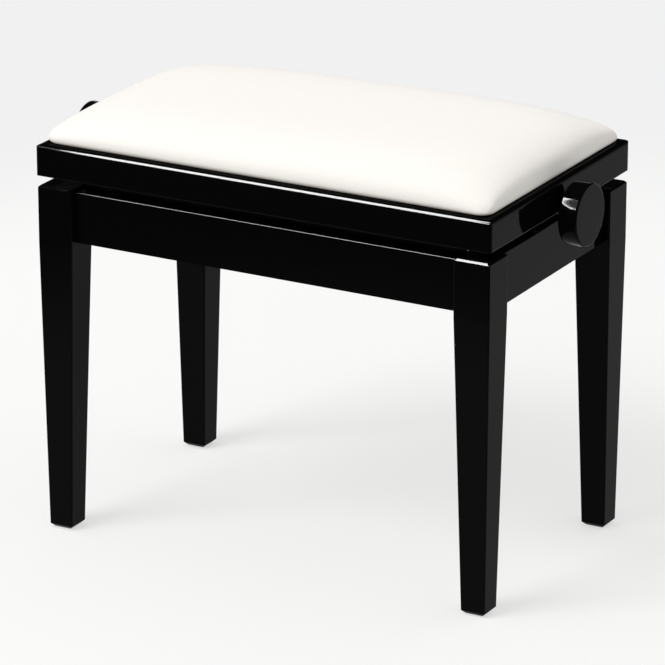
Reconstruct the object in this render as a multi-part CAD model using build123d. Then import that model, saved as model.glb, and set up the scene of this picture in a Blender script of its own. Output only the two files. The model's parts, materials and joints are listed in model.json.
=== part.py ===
from build123d import *
import math
import os

# A piano stool whose seat is raised by a screw-driven scissor lift. Millimetres, +Z up, +X along
# the long side, origin on the floor under the middle of the seat, seat drawn at its lowest height.

# Plan and heights
STOOL_WIDTH = 555.0  # across the legs along X, outside
STOOL_DEPTH = 328.0  # across the legs along Y, outside
LEG_TOP = 401.0  # height of the leg tops above the floor
SEAT_GAP = 11.5  # slit between the leg tops and the lowered seat frame
SEAT_LIFT = 90.0  # travel of the seat

# Legs: a square head, then a taper to the foot
LEG_SECTION = 42.7
LEG_HEAD = 65.0  # straight stretch below the leg top
LEG_FOOT = 28.9  # square size at the foot
LEG_OUTER_TAPER = 4.2  # how far the outer faces come in at the foot
LEG_EDGE = 1.8
LEG_TOP_CHAMFER = 1.8
LEG_FOOT_CHAMFER = 3.4
LEG_FLAT = 8.0  # flat cut on the inner corner, where the hanger bolt goes in

# Floor glides
GLIDE_DIAMETER = 18.0
GLIDE_HEIGHT = 1.2
GLIDE_PIN = 4.0
GLIDE_PIN_LENGTH = 14.0

# Aprons
APRON_HEIGHT = 58.0
APRON_THICKNESS = 20.0
APRON_DROP = 3.5  # apron top below the leg top
APRON_RECESS = 9.5  # apron face behind the leg face
APRON_EDGE = 1.5

# Corner brackets and hanger bolts
BRACKET_STANDOFF = 9.0  # from the leg's inner corner to the bracket's diagonal
BRACKET_THICKNESS = 2.5
BRACKET_HEIGHT = 25.0
BRACKET_FLANGE = 20.0
BOLT_DIAMETER = 6.0
BOLT_IN_LEG = 26.0
BOLT_PAST_NUT = 4.0
WASHER_DIAMETER = 14.0
WASHER_THICKNESS = 1.6
NUT_ACROSS_FLATS = 10.0
NUT_HEIGHT = 5.0

# Seat frame
FRAME_OVERHANG = 1.2  # outside of the frame past the legs
RAIL_HEIGHT = 36.0
RAIL_LAP = 4.5  # rails reach this far inside the aprons, so that what they carry clears the aprons
RAIL_ROUND = 6.0  # round-over of the top outer edge
RAIL_EASE = 1.8  # eased lower edge
RAIL_CORNER = 4.5
LEDGE_WIDTH = 13.0  # top of the frame that shows round the cushion

# Cushion on its board
BOARD_THICKNESS = 12.0
BOARD_SINK = 2.0  # board top below the frame top
CUSHION_RISE = 38.0  # crown above the frame top
CUSHION_BULGE = 7.5  # how far the cushion swells over the ledge
CUSHION_ROLL = 5.5  # height of the widest place above the frame top
CUSHION_SHOULDER = 20.0
CUSHION_CORNER = 12.0
COVER_THICKNESS = 1.2

# Tracks that hold the scissor's ends
TRACK_OPENING = 17.0
TRACK_WALL = 2.5
TRACK_DEPTH = 18.0
TRACK_RISE = 2.5  # lower track above the apron's lower edge
TRACK_LEG_GAP = 34.0
TRACK_END = 16.0  # from a scissor pivot to the track's end
TRACK_PLATE = 7.7  # upper track's fixing plate above its channel

# Scissor arms, their rods and their rollers
ARM_WIDTH = 22.0
ARM_THICKNESS = 4.0
ROD_DIAMETER = 8.0
RIVET_DIAMETER = 8.0
RIVET_HEAD = 15.0
RIVET_HEAD_HEIGHT = 1.8
BAR_SECTION = 16.0  # square bars that the spindle runs through
SPACER_DIAMETER = 12.0
CLIP_DIAMETER = 14.0
CLIP_THICKNESS = 1.2

# Spindle, bearings and knobs
SPINDLE_DIAMETER = 10.0
THREAD_PITCH = 2.0
THREAD_SPARE = 12.0  # thread past the nut at each end of its travel
THREAD_RELIEF = 3.0
THREAD_ROOT = 7.6
BUSH_WALL = 2.0
BUSH_FLANGE = 2.0  # flange past the bush's outside, and its thickness
COLLAR_DIAMETER = 20.0
COLLAR_WIDTH = 8.0
PLATE_THICKNESS = 4.0
PLATE_CORNER = 3.0
KNOB_DIAMETER = 69.2
KNOB_THICKNESS = 22.5
KNOB_GAP = 11.8  # from the seat frame to the knob's back
KNOB_FRONT_EDGE = 1.2
KNOB_BACK_EDGE = 2.5
KNOB_BORE = 16.0
GRUB_DIAMETER = 5.0
GRUB_LENGTH = 10.0

# Screws
SCREW_DIAMETER = 4.0
SCREW_HEAD = 7.5
SCREW_HEAD_HEIGHT = 2.2
SCREW_IN_WOOD = 12.0
TRACK_SCREW_PITCH = 105.0
BOARD_SCREW_PITCH = 140.0
BOARD_SCREW_SINK = 8.0  # counterbore in the rail's underside
PLATE_SCREW_PITCH = 40.0
PLATE_SCREW_EDGE = 20.0

# Clearances
RUN_FIT = 0.05  # radial, between a shaft and its bore
SIDE_PLAY = 0.2  # between pieces side by side on a shaft
BORE_PLAY = 0.4  # radial, where a shaft only passes through
SLOT_PLAY = 0.35  # past the travel that a slot has to allow
SOFT_GAP = 0.15  # between the cover, the foam and the board
CUSHION_GAP = 0.4  # between the cushion and the frame's rebate
ARM_GAP = 0.4  # between the two arms of a pair
ARM_TRACK_GAP = 2.6
NOTCH_PLAY = 1.0  # radial, between the spindle and the notches in the short rails
SLIT_LAP = 3.5  # how far what closes the slit below the seat reaches below the aprons' tops
BRACKET_GAP = 3.0  # between the lower track and a bracket
PLATE_GAP = 2.0  # between a fixing plate and the seat board
LEG_GAP = 2.0  # between what hangs from the seat and the legs that it passes
LEDGE_GAP = 0.4  # between the ledge and the cushion's swelling above it

# Frame lines worked out from the sizes above
HALF_WIDTH = STOOL_WIDTH / 2
HALF_DEPTH = STOOL_DEPTH / 2
FRAME_HALF_X = HALF_WIDTH + FRAME_OVERHANG
FRAME_HALF_Y = HALF_DEPTH + FRAME_OVERHANG
LEG_INNER_X = HALF_WIDTH - LEG_SECTION
LEG_INNER_Y = HALF_DEPTH - LEG_SECTION
APRON_TOP = LEG_TOP - APRON_DROP
APRON_BOTTOM = APRON_TOP - APRON_HEIGHT
APRON_INSET = APRON_RECESS + APRON_THICKNESS
APRON_INNER_X = HALF_WIDTH - APRON_INSET
APRON_INNER_Y = HALF_DEPTH - APRON_INSET
RAIL_WIDTH = FRAME_OVERHANG + APRON_INSET + RAIL_LAP
RAIL_INNER_X = FRAME_HALF_X - RAIL_WIDTH
RAIL_INNER_Y = FRAME_HALF_Y - RAIL_WIDTH
FRAME_BOTTOM = LEG_TOP + SEAT_GAP
FRAME_TOP = FRAME_BOTTOM + RAIL_HEIGHT
REBATE_FLOOR = FRAME_TOP - BOARD_SINK - BOARD_THICKNESS
CUSHION_HALF_X = FRAME_HALF_X - LEDGE_WIDTH - CUSHION_GAP
CUSHION_HALF_Y = FRAME_HALF_Y - LEDGE_WIDTH - CUSHION_GAP

# Scissor linkage: the arms' left ends turn on fixed pivots, and their right ends slide along X
TRACK_HEIGHT = TRACK_OPENING + 2 * TRACK_WALL
PLATE_TOP = REBATE_FLOOR - PLATE_GAP
SPINDLE_Z = PLATE_TOP - TRACK_PLATE - TRACK_HEIGHT / 2
LOWER_Z = APRON_BOTTOM + TRACK_RISE + TRACK_HEIGHT / 2
TRACK_HALF = LEG_INNER_X - TRACK_LEG_GAP
UPPER_TRACK_HALF = LEG_INNER_X - LEG_GAP  # reaches along the whole slit, so that nobody looks through it
SLIT_FOOT = APRON_TOP - SLIT_LAP
UPPER_BACK_Z = (SLIT_FOOT, PLATE_TOP)
LOWER_BACK_Z = (LOWER_Z - TRACK_HEIGHT / 2, LOWER_Z + TRACK_HEIGHT / 2)
PIVOT_X = TRACK_HALF - TRACK_END
RISE_LOW = SPINDLE_Z - LOWER_Z
RISE_HIGH = RISE_LOW + SEAT_LIFT
ARM_LENGTH = math.hypot(2 * PIVOT_X, RISE_LOW)
ARM_ANGLE_LOW = math.asin(RISE_LOW / ARM_LENGTH)
ARM_ANGLE_HIGH = math.asin(RISE_HIGH / ARM_LENGTH)
NUT_TRAVEL = ARM_LENGTH * (math.cos(ARM_ANGLE_LOW) - math.cos(ARM_ANGLE_HIGH))

# The arms turn in proportion to the lift, so halfway up the ends stray a little from the true
# linkage, and the slots and the centre hole leave room for that
ARM_ANGLE_MID = (ARM_ANGLE_LOW + ARM_ANGLE_HIGH) / 2
LINK_DROP = ARM_LENGTH * math.sin(ARM_ANGLE_MID) - (RISE_LOW + RISE_HIGH) / 2
LINK_PULL = NUT_TRAVEL / 2 - ARM_LENGTH * (math.cos(ARM_ANGLE_LOW) - math.cos(ARM_ANGLE_MID))

# Places across the depth, on the rear side
UPPER_BACK = RAIL_INNER_Y - TRACK_WALL
LOWER_BACK = APRON_INNER_Y - TRACK_WALL
UPPER_MOUTH = RAIL_INNER_Y - TRACK_DEPTH
LOWER_MOUTH = APRON_INNER_Y - TRACK_DEPTH
OUTER_ARM_Y = (UPPER_MOUTH - ARM_TRACK_GAP - ARM_THICKNESS, UPPER_MOUTH - ARM_TRACK_GAP)
INNER_ARM_Y = (OUTER_ARM_Y[0] - ARM_GAP - ARM_THICKNESS, OUTER_ARM_Y[0] - ARM_GAP)

# Screw lengths under the head
BRACKET_SCREW = BRACKET_THICKNESS + SCREW_IN_WOOD
TRACK_SCREW = TRACK_WALL + SCREW_IN_WOOD
PLATE_SCREW = PLATE_THICKNESS + SCREW_IN_WOOD

CORNERS = {
    "front_left": (-1, -1),
    "front_right": (1, -1),
    "rear_left": (-1, 1),
    "rear_right": (1, 1),
}
LONG_SIDES = {"front": -1, "rear": 1}
SHORT_SIDES = {"left": -1, "right": 1}


def block(x, y, z):
    """Box between a low and a high place on each axis."""
    return Pos(sum(x) / 2, sum(y) / 2, sum(z) / 2) * Box(x[1] - x[0], y[1] - y[0], z[1] - z[0])


def bar(start, direction, length, radius):
    """Round bar from a start point along a direction."""
    return Plane(origin=start, z_dir=direction) * Pos(0, 0, length / 2) * Cylinder(radius, length)


def along_x(x, radius, y=0.0, z=SPINDLE_Z):
    """Round bar along X between two places, on the spindle's axis unless told otherwise."""
    return bar((x[0], y, z), (1, 0, 0), x[1] - x[0], radius)


def along_y(y, radius, x, z):
    """Round bar along Y between two places."""
    return bar((x, y[0], z), (0, 1, 0), y[1] - y[0], radius)


def tube_y(y, outer, inner, x, z):
    """Tube along Y between two places."""
    return along_y(y, outer, x, z) - along_y(y, inner, x, z)


def to_corner(shape, signs):
    """Copy of a right rear piece, mirrored to the corner with the given signs of X and Y."""
    if signs[0] < 0:
        shape = mirror(shape, about=Plane.YZ)
    if signs[1] < 0:
        shape = mirror(shape, about=Plane.XZ)
    return shape


def both_depths(shape):
    """A rear piece and its mirror image at the front, as one group of two solids."""
    return Compound([shape.solid(), mirror(shape, about=Plane.XZ).solid()])


def both_ends(shape):
    """A right piece and its mirror image on the left, as one group of two solids."""
    return Compound([shape.solid(), mirror(shape, about=Plane.YZ).solid()])


def upright(sketch, y):
    """Plate cut to a sketch in X and Z, between two places along Y."""
    return extrude(Plane.XZ.offset(-y[0]) * sketch, amount=y[0] - y[1])


def screw(seat, direction, reach):
    """Pan-head screw: the head lies on the seat point and the shank runs along the direction."""
    back = [-step for step in direction]
    head = bar(seat, back, SCREW_HEAD_HEIGHT, SCREW_HEAD / 2)
    return head + bar(seat, direction, reach, SCREW_DIAMETER / 2)


def screw_hole(seat, direction, reach):
    """Hole for the shank of a screw with the same seat, direction and reach."""
    return bar(seat, direction, reach + SLOT_PLAY, SCREW_DIAMETER / 2 + RUN_FIT)


# Hanger bolt: it leaves the flat on the leg's inner corner along the diagonal
FLAT_POINT = (LEG_INNER_X + LEG_FLAT / 2, LEG_INNER_Y + LEG_FLAT / 2)
OUTWARD = (math.sqrt(0.5), math.sqrt(0.5), 0.0)
INWARD = (-OUTWARD[0], -OUTWARD[1], 0.0)
BRACKET_BOTTOM = LOWER_Z + TRACK_HEIGHT / 2 + BRACKET_GAP
BRACKET_MID = BRACKET_BOTTOM + BRACKET_HEIGHT / 2
FLAT_TO_BRACKET = LEG_FLAT * math.sqrt(0.5) + BRACKET_STANDOFF


def bolt_point(inward):
    """Point on the hanger bolt's axis, so far from the leg's flat towards the middle."""
    reach = inward * math.sqrt(0.5)
    return (FLAT_POINT[0] - reach, FLAT_POINT[1] - reach, BRACKET_MID)


def leg():
    """Right rear leg: straight head and tapered shaft with eased edges, bored for bolt and glide."""
    head_in = LEG_SECTION / 2
    foot_in = LEG_OUTER_TAPER + LEG_FOOT / 2
    sections = [
        (GLIDE_HEIGHT, foot_in, LEG_FOOT - 2 * LEG_FOOT_CHAMFER),
        (GLIDE_HEIGHT + LEG_FOOT_CHAMFER, foot_in, LEG_FOOT),
        (LEG_TOP - LEG_HEAD, head_in, LEG_SECTION),
        (LEG_TOP - LEG_TOP_CHAMFER, head_in, LEG_SECTION),
        (LEG_TOP, head_in, LEG_SECTION - 2 * LEG_TOP_CHAMFER),
    ]
    squares = [
        Pos(HALF_WIDTH - inset, HALF_DEPTH - inset, z) * RectangleRounded(size, size, LEG_EDGE)
        for z, inset, size in sections
    ]
    shape = loft(squares, ruled=True)
    corner = (LEG_INNER_X, LEG_INNER_Y)
    flat = make_face(Polyline(
        corner, (corner[0] + LEG_FLAT, corner[1]), (corner[0], corner[1] + LEG_FLAT), close=True))
    shape -= extrude(Plane.XY.offset(APRON_BOTTOM) * flat, amount=LEG_TOP - APRON_BOTTOM)
    shape -= bar(bolt_point(0), OUTWARD, BOLT_IN_LEG + SLOT_PLAY, BOLT_DIAMETER / 2 + RUN_FIT)
    pin_room = GLIDE_PIN_LENGTH + SLOT_PLAY
    shape -= bar((*glide_point(), GLIDE_HEIGHT), (0, 0, 1), pin_room, GLIDE_PIN / 2 + RUN_FIT)
    return shape


def glide_point():
    """Middle of the right rear foot."""
    foot_in = LEG_OUTER_TAPER + LEG_FOOT / 2
    return (HALF_WIDTH - foot_in, HALF_DEPTH - foot_in)


def glide():
    """Right rear floor glide: a domed disc with a pin up into the foot."""
    disc = bar((*glide_point(), 0), (0, 0, 1), GLIDE_HEIGHT, GLIDE_DIAMETER / 2)
    disc = chamfer(disc.edges().group_by(Axis.Z)[0], GLIDE_HEIGHT / 3)
    return disc + bar((*glide_point(), 0), (0, 0, 1), GLIDE_HEIGHT + GLIDE_PIN_LENGTH, GLIDE_PIN / 2)


def bracket_ends():
    """Where the right rear bracket's diagonal meets the long and the short apron."""
    total = LEG_INNER_X + LEG_INNER_Y - BRACKET_STANDOFF * math.sqrt(2)
    return total - APRON_INNER_Y, total - APRON_INNER_X


def bracket_screws():
    """Seats and directions of the right rear bracket's two screws."""
    end_x, end_y = bracket_ends()
    middle = BRACKET_FLANGE / 2
    on_long = (end_x - middle, APRON_INNER_Y - BRACKET_THICKNESS, BRACKET_MID)
    on_short = (APRON_INNER_X - BRACKET_THICKNESS, end_y - middle, BRACKET_MID)
    return [(on_long, (0, 1, 0)), (on_short, (1, 0, 0))]


def corner_bracket():
    """Right rear bracket: a diagonal plate with a flange on each apron, bored for the bolt."""
    end_x, end_y = bracket_ends()
    inner_y = APRON_INNER_Y - BRACKET_THICKNESS
    inner_x = APRON_INNER_X - BRACKET_THICKNESS
    bend = BRACKET_THICKNESS * math.tan(math.radians(22.5))
    outline = Polyline(
        (end_x - BRACKET_FLANGE, APRON_INNER_Y), (end_x, APRON_INNER_Y),
        (APRON_INNER_X, end_y), (APRON_INNER_X, end_y - BRACKET_FLANGE),
        (inner_x, end_y - BRACKET_FLANGE), (inner_x, end_y - bend),
        (end_x - bend, inner_y), (end_x - BRACKET_FLANGE, inner_y), close=True)
    plate = extrude(Plane.XY.offset(BRACKET_BOTTOM) * make_face(outline), amount=BRACKET_HEIGHT)
    reach = FLAT_TO_BRACKET + 2 * BRACKET_THICKNESS
    plate -= bar(bolt_point(0), INWARD, reach, BOLT_DIAMETER / 2 + BORE_PLAY)
    for seat, direction in bracket_screws():
        plate -= screw_hole(seat, direction, BRACKET_SCREW)
    return plate


NUT_SEAT = FLAT_TO_BRACKET + BRACKET_THICKNESS
NUT_FACE = NUT_SEAT + WASHER_THICKNESS


def hanger_bolt():
    """Right rear hanger bolt, from inside the leg to just past its nut."""
    length = BOLT_IN_LEG + NUT_FACE + NUT_HEIGHT + BOLT_PAST_NUT
    return bar(bolt_point(-BOLT_IN_LEG), INWARD, length, BOLT_DIAMETER / 2)


def bolt_washer():
    """Right rear washer on the bracket."""
    disc = bar(bolt_point(NUT_SEAT), INWARD, WASHER_THICKNESS, WASHER_DIAMETER / 2)
    return disc - bar(bolt_point(NUT_SEAT), INWARD, WASHER_THICKNESS, BOLT_DIAMETER / 2 + BORE_PLAY)


def bolt_nut():
    """Right rear hexagon nut on the washer."""
    where = Plane(origin=bolt_point(NUT_FACE), z_dir=INWARD)
    hexagon = RegularPolygon(NUT_ACROSS_FLATS / 2, 6, major_radius=False)
    return extrude(where * (hexagon - Circle(BOLT_DIAMETER / 2 + RUN_FIT)), amount=NUT_HEIGHT)


def at_corners(shape):
    """A right rear piece at all four corners, as one group of four solids."""
    return Compound([to_corner(shape, signs).solid() for signs in CORNERS.values()])


def eased_apron(x, y, outer):
    """Apron with eased top edges, between the legs."""
    shape = block(x, y, (APRON_BOTTOM, APRON_TOP))
    return fillet(shape.faces().sort_by(Axis.Z)[-1].edges().filter_by(outer), APRON_EDGE)


def lower_track_screw_points():
    """Screw seats on the rear lower track's back."""
    return [(step * TRACK_SCREW_PITCH, LOWER_BACK, LOWER_Z) for step in (-1, 0, 1)]


def long_apron():
    """Rear apron, bored for the bracket and track screws."""
    shape = eased_apron(
        (-LEG_INNER_X, LEG_INNER_X), (APRON_INNER_Y, HALF_DEPTH - APRON_RECESS), Axis.X)
    hole = screw_hole(*bracket_screws()[0], BRACKET_SCREW)
    shape -= [hole, mirror(hole, about=Plane.YZ)]
    return shape - [screw_hole(seat, (0, 1, 0), TRACK_SCREW) for seat in lower_track_screw_points()]


def short_apron():
    """Right apron, bored for the bracket screws."""
    shape = eased_apron(
        (APRON_INNER_X, HALF_WIDTH - APRON_RECESS), (-LEG_INNER_Y, LEG_INNER_Y), Axis.Y)
    hole = screw_hole(*bracket_screws()[1], BRACKET_SCREW)
    return shape - [hole, mirror(hole, about=Plane.XZ)]


def channel(half, back, mouth, axis_z, back_z):
    """C-track along X on the rear side, open towards the middle, its back between two heights."""
    low = axis_z - TRACK_HEIGHT / 2
    x = (-half, half)
    shape = block(x, (mouth, back + TRACK_WALL), (low, low + TRACK_HEIGHT))
    shape -= block(x, (mouth, back), (low + TRACK_WALL, low + TRACK_WALL + TRACK_OPENING))
    pivot = (back, back + TRACK_WALL)
    shape += block(x, pivot, back_z)
    return shape - along_y(pivot, ROD_DIAMETER / 2 + RUN_FIT, -PIVOT_X, axis_z)


def lower_track():
    """Rear lower track on the long apron."""
    shape = channel(TRACK_HALF, LOWER_BACK, LOWER_MOUTH, LOWER_Z, LOWER_BACK_Z)
    return shape - [screw_hole(seat, (0, 1, 0), TRACK_SCREW) for seat in lower_track_screw_points()]


def upper_track_screw_points():
    """Screw seats on the rear upper track's fixing plate."""
    height = PLATE_TOP - TRACK_PLATE / 2
    return [(step * TRACK_SCREW_PITCH, UPPER_BACK, height) for step in (-1, 0, 1)]


def upper_track():
    """Rear upper track on the long seat rail."""
    shape = channel(UPPER_TRACK_HALF, UPPER_BACK, UPPER_MOUTH, SPINDLE_Z, UPPER_BACK_Z)
    return shape - [screw_hole(seat, (0, 1, 0), TRACK_SCREW) for seat in upper_track_screw_points()]


def screw_group(seats, direction, reach):
    """Screws at the given seats and their mirror images at the front, as one group."""
    rear = [screw(seat, direction, reach) for seat in seats]
    return Compound([s.solid() for s in rear] + [mirror(s, about=Plane.XZ).solid() for s in rear])


def rail_profile(half):
    """Section across the whole seat frame: eased below and rounded over at the top."""
    section = Pos(0, (FRAME_BOTTOM + FRAME_TOP) / 2) * Rectangle(2 * half, RAIL_HEIGHT)
    section = fillet(section.vertices().group_by(Axis.Y)[-1], RAIL_ROUND)
    return fillet(section.vertices().group_by(Axis.Y)[0], RAIL_EASE)


def board_screw_points():
    """Places of the screws that hold the board, each with its rail."""
    over_long = (RAIL_INNER_Y + FRAME_HALF_Y - LEDGE_WIDTH) / 2
    over_short = (RAIL_INNER_X + FRAME_HALF_X - LEDGE_WIDTH) / 2
    half = BOARD_SCREW_PITCH / 2
    points = [(sx * BOARD_SCREW_PITCH, sy * over_long) for sx in (-1, 1) for sy in (-1, 1)]
    return points + [(sx * over_short, sy * half) for sx in (-1, 1) for sy in (-1, 1)]


BOARD_SCREW_SEAT = FRAME_BOTTOM + BOARD_SCREW_SINK
BOARD_SCREW_REACH = REBATE_FLOOR + BOARD_THICKNESS * 0.75 - BOARD_SCREW_SEAT


def seat_frame():
    """The four rails in one piece, before the mitres part them."""
    outside = RectangleRounded(2 * FRAME_HALF_X, 2 * FRAME_HALF_Y, RAIL_CORNER)
    shape = extrude(Plane.XY.offset(FRAME_BOTTOM) * outside, amount=RAIL_HEIGHT)
    shape &= extrude(Plane.XZ * rail_profile(FRAME_HALF_X), amount=FRAME_HALF_Y, both=True)
    shape &= extrude(Plane.YZ * rail_profile(FRAME_HALF_Y), amount=FRAME_HALF_X, both=True)
    open_x = (-RAIL_INNER_X, RAIL_INNER_X)
    open_y = (-RAIL_INNER_Y, RAIL_INNER_Y)
    shape -= block(open_x, open_y, (FRAME_BOTTOM, FRAME_TOP))
    rebate_x = (LEDGE_WIDTH - FRAME_HALF_X, FRAME_HALF_X - LEDGE_WIDTH)
    rebate_y = (LEDGE_WIDTH - FRAME_HALF_Y, FRAME_HALF_Y - LEDGE_WIDTH)
    shape -= block(rebate_x, rebate_y, (REBATE_FLOOR, FRAME_TOP))
    for seat in upper_track_screw_points():
        hole = screw_hole(seat, (0, 1, 0), TRACK_SCREW)
        shape -= [hole, mirror(hole, about=Plane.XZ)]
    for seat in plate_screw_points():
        hole = screw_hole(seat, (1, 0, 0), PLATE_SCREW)
        shape -= [hole, mirror(hole, about=Plane.YZ)]
    notch = SPINDLE_DIAMETER / 2 + NOTCH_PLAY
    through = (-FRAME_HALF_X, FRAME_HALF_X)
    shape -= along_x(through, notch)
    shape -= block(through, (-notch, notch), (SPINDLE_Z - 2 * notch, SPINDLE_Z))
    for x, y in board_screw_points():
        shape -= bar((x, y, FRAME_BOTTOM), (0, 0, 1), BOARD_SCREW_SINK, SCREW_HEAD / 2 + BORE_PLAY)
        shape -= screw_hole((x, y, BOARD_SCREW_SEAT), (0, 0, 1), BOARD_SCREW_REACH)
    return shape


def mitred(frame, long_side, sign):
    """One rail of the frame, parted from its neighbours by 45 degree mitres."""
    x, y = FRAME_HALF_X, FRAME_HALF_Y
    if long_side:
        points = [(-x, sign * y), (x, sign * y), (x - RAIL_WIDTH, sign * (y - RAIL_WIDTH)),
                  (RAIL_WIDTH - x, sign * (y - RAIL_WIDTH))]
    else:
        points = [(sign * x, -y), (sign * x, y), (sign * (x - RAIL_WIDTH), y - RAIL_WIDTH),
                  (sign * (x - RAIL_WIDTH), RAIL_WIDTH - y)]
    wedge = make_face(Polyline(*points, close=True))
    return frame & extrude(Plane.XY.offset(FRAME_BOTTOM) * wedge, amount=RAIL_HEIGHT)


def crown_profile(half, shoulder, top, foot):
    """Section across the cushion: upright edge, swelling, round shoulder and a crown tangent to it."""
    start = FRAME_TOP + LEDGE_GAP
    spring = FRAME_TOP + CUSHION_ROLL
    wide = half + CUSHION_BULGE
    slope = 2 * math.atan((top - spring - shoulder) / (wide - shoulder))
    turn = math.pi / 2 - slope
    middle = turn / 2
    hub = wide - shoulder
    end = (hub + shoulder * math.cos(turn), spring + shoulder * math.sin(turn))
    knee = (hub + shoulder * math.cos(middle), spring + shoulder * math.sin(middle))
    lines = [
        Line((-half, foot), (half, foot)),
        Line((half, foot), (half, start)),
        TangentArc((wide, spring), (half, start), tangent=(0, 1), tangent_from_first=False),
        ThreePointArc((wide, spring), knee, end),
        ThreePointArc(end, (0, top), (-end[0], end[1])),
        ThreePointArc((-end[0], end[1]), (-knee[0], knee[1]), (-wide, spring)),
        TangentArc((-wide, spring), (-half, start), tangent=(0, 1), tangent_from_first=False),
        Line((-half, start), (-half, foot)),
    ]
    return make_face(Curve() + lines)


def cushion_form(inset, foot):
    """Crowned pad, drawn in by an inset from the cushion's outside, down to a foot height."""
    half_x = CUSHION_HALF_X - inset
    half_y = CUSHION_HALF_Y - inset
    wide_x = half_x + CUSHION_BULGE
    wide_y = half_y + CUSHION_BULGE
    shoulder = CUSHION_SHOULDER - inset
    top = FRAME_TOP + CUSHION_RISE - inset
    plan = RectangleRounded(2 * wide_x, 2 * wide_y, CUSHION_CORNER - inset)
    shape = extrude(Plane.XY.offset(foot) * plan, amount=top - foot)
    shape &= extrude(Plane.XZ * crown_profile(half_x, shoulder, top, foot), amount=wide_y, both=True)
    return shape & extrude(Plane.YZ * crown_profile(half_y, shoulder, top, foot), amount=wide_x, both=True)


def seat_board():
    """Board in the rebate, bored for its screws."""
    inset = COVER_THICKNESS + SOFT_GAP
    plan = RectangleRounded(
        2 * (CUSHION_HALF_X - inset), 2 * (CUSHION_HALF_Y - inset), CUSHION_CORNER - inset)
    shape = extrude(Plane.XY.offset(REBATE_FLOOR) * plan, amount=BOARD_THICKNESS)
    for x, y in board_screw_points():
        shape -= screw_hole((x, y, BOARD_SCREW_SEAT), (0, 0, 1), BOARD_SCREW_REACH)
    return shape


def seat_foam():
    """Foam on the board, under the cover."""
    return cushion_form(COVER_THICKNESS + SOFT_GAP, REBATE_FLOOR + BOARD_THICKNESS)


def seat_cover():
    """Fabric over the foam and down the board's edge."""
    return cushion_form(0, REBATE_FLOOR) - cushion_form(COVER_THICKNESS, REBATE_FLOOR)


def board_screws():
    """Screws up through the rails into the board."""
    seats = [(x, y, BOARD_SCREW_SEAT) for x, y in board_screw_points()]
    return Compound([screw(seat, (0, 0, 1), BOARD_SCREW_REACH).solid() for seat in seats])


# Bearing plates hang from the short seat rails and close the slit there
PLATE_FACE = RAIL_INNER_X - PLATE_THICKNESS
PLATE_HALF = LEG_INNER_Y - LEG_GAP
BUSH_RADIUS = SPINDLE_DIAMETER / 2 + RUN_FIT + BUSH_WALL
COLLAR_FACE = PLATE_FACE - BUSH_FLANGE - SIDE_PLAY


def plate_screw_points():
    """Screw seats on the right bearing plate."""
    height = (FRAME_BOTTOM + PLATE_TOP) / 2
    places = (PLATE_SCREW_PITCH / 2, PLATE_HALF - PLATE_SCREW_EDGE)
    return [(PLATE_FACE, side * place, height) for place in places for side in (-1, 1)]


def bearing_plate():
    """Right bearing plate, bored for the bush and its screws."""
    y = (-PLATE_HALF, PLATE_HALF)
    shape = block((PLATE_FACE, RAIL_INNER_X), y, (SLIT_FOOT, PLATE_TOP))
    low_corners = shape.edges().filter_by(Axis.X).group_by(Axis.Z)[0]
    shape = fillet(low_corners, PLATE_CORNER)
    shape -= along_x((PLATE_FACE, RAIL_INNER_X), BUSH_RADIUS)
    return shape - [screw_hole(seat, (1, 0, 0), PLATE_SCREW) for seat in plate_screw_points()]


def spindle_bush():
    """Right flanged bush in the bearing plate."""
    shape = along_x((PLATE_FACE, RAIL_INNER_X), BUSH_RADIUS)
    shape += along_x((PLATE_FACE - BUSH_FLANGE, PLATE_FACE), BUSH_RADIUS + BUSH_FLANGE)
    return shape - along_x((PLATE_FACE - BUSH_FLANGE, RAIL_INNER_X), SPINDLE_DIAMETER / 2 + RUN_FIT)


def bearing_plate_screws():
    """Screws of both bearing plates."""
    right = [screw(seat, (1, 0, 0), PLATE_SCREW) for seat in plate_screw_points()]
    left = [mirror(s, about=Plane.YZ) for s in right]
    return Compound([s.solid() for s in right + left])


def arm(angle, holes, y):
    """Rear scissor arm: a flat bar with round ends, turned by its angle at the lowest seat."""
    sketch = SlotCenterToCenter(ARM_LENGTH, ARM_WIDTH) - holes
    middle = Pos(0, (LOWER_Z + SPINDLE_Z) / 2)
    return upright(middle * Rot(0, 0, math.degrees(angle)) * sketch, y)


def outer_arm():
    """Rear arm that turns on the base and whose far end is led by the nut."""
    eye = Circle(ROD_DIAMETER / 2 + RUN_FIT)
    slot_length = LINK_PULL + LINK_DROP + SLOT_PLAY
    slot = SlotCenterToCenter(slot_length, ROD_DIAMETER + 2 * SLOT_PLAY)
    holes = [
        Pos(-ARM_LENGTH / 2, 0) * eye,
        Circle(RIVET_DIAMETER / 2 + RUN_FIT),
        Pos(ARM_LENGTH / 2 - slot_length / 2 + SLOT_PLAY, 0) * slot,
    ]
    return arm(ARM_ANGLE_LOW, holes, OUTER_ARM_Y)


def inner_arm():
    """Rear arm that turns on the seat and whose far end slides in the lower track."""
    eye = Circle(ROD_DIAMETER / 2 + RUN_FIT)
    holes = [
        Pos(-ARM_LENGTH / 2, 0) * eye,
        Circle(RIVET_DIAMETER / 2 + LINK_DROP + SLOT_PLAY),
        Pos(ARM_LENGTH / 2, 0) * eye,
    ]
    return arm(-ARM_ANGLE_LOW, holes, INNER_ARM_Y)


def arm_rivet():
    """Rear rivet through the middle of both arms, held in the outer one."""
    middle = (LOWER_Z + SPINDLE_Z) / 2
    low = INNER_ARM_Y[0] - SIDE_PLAY
    high = OUTER_ARM_Y[1] + SIDE_PLAY
    shape = along_y((low, high), RIVET_DIAMETER / 2, 0, middle)
    shape += along_y((low - RIVET_HEAD_HEIGHT, low), RIVET_HEAD / 2, 0, middle)
    return shape + along_y((high, high + RIVET_HEAD_HEIGHT), RIVET_HEAD / 2, 0, middle)


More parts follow.
